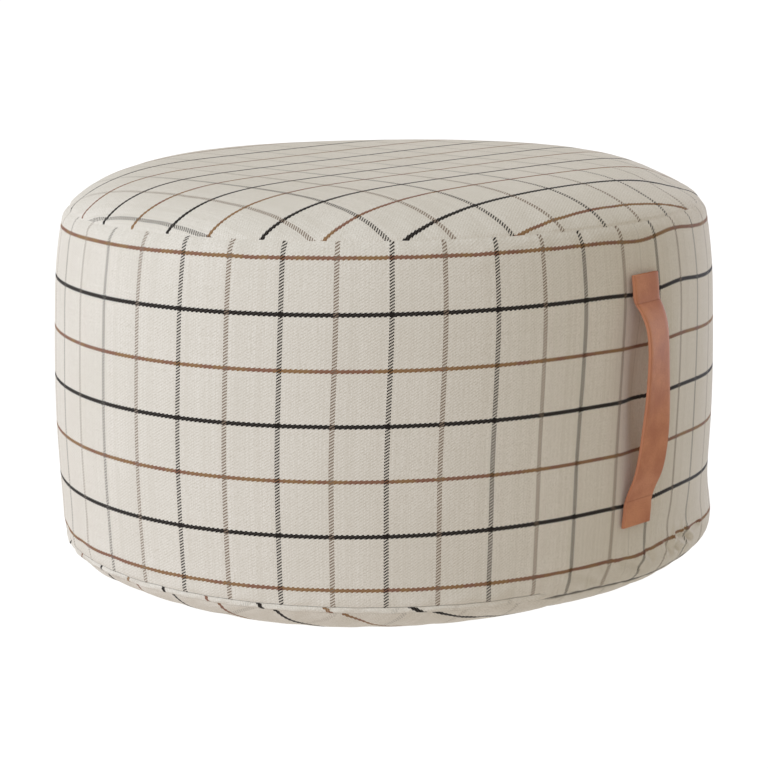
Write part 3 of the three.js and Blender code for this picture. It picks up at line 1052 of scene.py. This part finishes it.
def twill():
    """Twill with a check of lines, drawn thread by thread from the cloth coordinates."""
    n = Nodes("checked_twill")
    u, v = n.cloth()
    strength, seam = n.coordinates("marks")
    place = n.place()

    # which thread is on top in each cell of the weave
    end = n.math("FLOOR", n.math("DIVIDE", u, END_PITCH))
    pick = n.math("FLOOR", n.math("DIVIDE", v, PICK_PITCH))
    step = n.math("FLOORED_MODULO", n.math("SUBTRACT", end, pick), float(TWILL_REPEAT))
    end_on_top = n.math("LESS_THAN", step, TWILL_REPEAT / 2)
    off_middle = n.blend(end_on_top, n.from_middle(v, PICK_PITCH), n.from_middle(u, END_PITCH))
    roundness = n.left_over(n.math("MULTIPLY", 2.0, off_middle))

    # lines of the check: how far the nearest black and coloured ones are each way
    from_black_u = n.math("PINGPONG", u, CHECK_PITCH)
    from_taupe = n.math("SUBTRACT", CHECK_PITCH, from_black_u)
    from_black_v = n.math("PINGPONG", v, CHECK_PITCH)
    from_brown = n.math("SUBTRACT", CHECK_PITCH, from_black_v)
    in_black_u = n.math("LESS_THAN", from_black_u, UPRIGHT_HALF)
    in_taupe = n.math("LESS_THAN", from_taupe, UPRIGHT_HALF)
    in_black_v = n.math("LESS_THAN", from_black_v, BLACK_HALF)
    in_brown = n.math("LESS_THAN", from_brown, BROWN_HALF)
    in_upright = n.math("MAXIMUM", in_black_u, in_taupe)
    in_round = n.math("MAXIMUM", in_black_v, in_brown)
    from_line = n.math("MINIMUM", n.math("SUBTRACT", from_black_v, BLACK_HALF),
                       n.math("SUBTRACT", from_brown, BROWN_HALF))

    # colour of the end and of the pick, and which of them shows
    cream_end, cream_pick, brown = yarns(n, place, end, pick)
    end_colour = n.mix(n.math("MULTIPLY", in_black_u, strength), cream_end, BLACK)
    end_colour = n.mix(n.math("MULTIPLY", in_taupe, strength), end_colour, TAUPE)
    pick_colour = n.mix(in_brown, n.mix(in_black_v, cream_pick, BLACK), brown)
    plain = n.left_over(n.math("MULTIPLY", in_upright, strength))
    covered = n.math("MULTIPLY", n.math("MULTIPLY", in_round, hidden_ends(n, step, from_line)), plain)
    shows_end = n.math("MULTIPLY", end_on_top, n.left_over(covered))
    base = n.mix(shows_end, pick_colour, end_colour)

    # Painted shade between the rounded threads and along the seams' painted shadow lines
    painted_thread_shade = n.ramp(roundness, 0.0, 0.8, 0.82, 1.0)
    shade = n.math("MULTIPLY", painted_thread_shade, painted_seam_shadow(n, u, strength, seam))
    n.link(n.shaded(base, shade), n.shader.inputs["Base Color"])
    n.link(twill_relief(n, u, v, place, roundness, from_line), n.shader.inputs["Normal"])
    n.constants({"Roughness": 0.95, "Specular IOR Level": 0.2,
                 "Sheen Weight": 0.05, "Sheen Roughness": 0.45})
    return n.material


def leather():
    """Smooth leather with a grain, blotches, a darker raw edge and creases across it, with painted shade
    along the creases.
    """
    n = Nodes("strap_leather")
    across, along = n.cloth()
    place = n.place()
    blotch = n.noise(place, scale=38.0, detail=4.0)
    grain = n.noise(place, scale=900.0, detail=3.0)
    pores = n.noise(place, scale=2400.0, detail=2.0)
    rim = n.ramp(n.math("ABSOLUTE", across), *(STRAP_WIDTH / 2 - inside for inside in STRAP_RIM))
    from_fold = n.math("MINIMUM", *(n.math("ABSOLUTE", n.math("SUBTRACT", along, at)) for at in STRAP_FOLDS))
    folded = n.ramp(from_fold, 0.0, STRAP_FOLD_WIDTH, 1.0, 0.0)
    base = n.mix(n.ramp(blotch, 0.3, 0.7), LEATHER, LEATHER_PALE)
    base = n.mix(n.ramp(grain, 0.3, 0.75, 0.0, 0.35), base, LEATHER_GRAIN)
    base = n.mix(n.math("MULTIPLY", rim, 0.8), base, LEATHER_RIM)
    # Painted shade along the creases
    base = n.mix(n.math("MULTIPLY", folded, 0.35), base, LEATHER_FOLD_SHADE)
    n.link(base, n.shader.inputs["Base Color"])
    height = n.math("ADD", grain, n.math("MULTIPLY", pores, 0.4))
    height = n.math("SUBTRACT", height, n.math("MULTIPLY", folded, 3.0))
    n.link(n.bump(height, 0.00012, 0.6), n.shader.inputs["Normal"])
    n.link(n.ramp(blotch, 0.2, 0.8, 0.62, 0.74), n.shader.inputs["Roughness"])
    n.constants({"Specular IOR Level": 0.2})
    return n.material


def floor_white():
    n = Nodes("floor_white")
    n.constants({"Base Color": (0.1, 0.1, 0.1, 1), "Roughness": 1.0, "Specular IOR Level": 0.0,
                 "Emission Color": (1, 1, 1, 1), "Emission Strength": 1.0})
    return n.material


# Floor, light and camera

def from_view(right, away, up):
    """A place given as seen by the camera, in the frame."""
    c = math.sqrt(0.5)
    return (c * (right - away), c * (right + away), up)


def stage_floor():
    mesh = bpy.data.meshes.new("floor")
    s = FLOOR_HALF
    mesh.from_pydata([(-s, -s, 0), (s, -s, 0), (s, s, 0), (-s, s, 0)], [], [(0, 1, 2, 3)])
    obj = bpy.data.objects.new("floor", mesh)
    bpy.context.scene.collection.objects.link(obj)
    obj.data.materials.append(floor_white())
    obj.visible_diffuse = False


def area_light(name, place, size, power, tint):
    data = bpy.data.lights.new(name, "AREA")
    data.shape = "DISK"
    data.size = size
    data.energy = power
    data.color = tint
    obj = bpy.data.objects.new(name, data)
    obj.location = from_view(*place)
    towards = Vector(LIGHT_TARGET) - Vector(from_view(*place))
    obj.rotation_euler = towards.to_track_quat("-Z", "Y").to_euler()
    bpy.context.scene.collection.objects.link(obj)


def studio_world():
    """An even pale room, brighter on the left of the camera than on its right."""
    world = bpy.data.worlds.new("studio")
    world.use_nodes = True
    tree = world.node_tree
    background = tree.nodes["Background"]
    place = tree.nodes.new("ShaderNodeTexCoord")
    dot = tree.nodes.new("ShaderNodeVectorMath")
    dot.operation = "DOT_PRODUCT"
    dot.inputs[1].default_value = from_view(*WORLD_BRIGHT_SIDE)
    share = tree.nodes.new("ShaderNodeMapRange")
    share.inputs["From Min"].default_value = -1
    tint = tree.nodes.new("ShaderNodeMix")
    tint.data_type = "RGBA"
    tint.inputs[6].default_value = WORLD_DARK
    tint.inputs[7].default_value = WORLD_BRIGHT
    tree.links.new(place.outputs["Generated"], dot.inputs[0])
    tree.links.new(dot.outputs["Value"], share.inputs[0])
    tree.links.new(share.outputs[0], tint.inputs[0])
    tree.links.new(tint.outputs[2], background.inputs[0])
    bpy.context.scene.world = world


def photo_camera():
    """The camera at the photo's place and angle, with its angle of view."""
    camera = bpy.data.cameras.new("camera")
    camera.sensor_width = SENSOR_WIDTH
    camera.lens = FOCAL_PIXELS / PICTURE_PIXELS * SENSOR_WIDTH
    obj = bpy.data.objects.new("camera", camera)
    obj.location = from_view(*CAMERA_PLACE)
    obj.rotation_euler = Vector(from_view(*CAMERA_LOOK)).to_track_quat("-Z", "Y").to_euler()
    bpy.context.scene.collection.objects.link(obj)
    bpy.context.scene.camera = obj


# The cover
sewing = Sewing(Cover(SEGMENTS))
cover = make_object("cover", sewing.points, sewing.faces, sewing.uvs, sewing.marks)
settle(cover, sewing.rings, SEGMENTS)
refine(cover)
cover.data.materials.append(twill())
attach(cover, "root")
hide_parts("pouf_body")

# The handle
strap = make_object("strap", *strap_mesh())
strap.data.materials.append(leather())
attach(strap, "root")
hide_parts("handle_strap")

# The stage
stage_floor()
for name, (place, size, power, tint) in LIGHTS.items():
    area_light(name, place, size, power, tint)
studio_world()
bpy.context.scene.view_settings.view_transform = "Standard"
photo_camera()
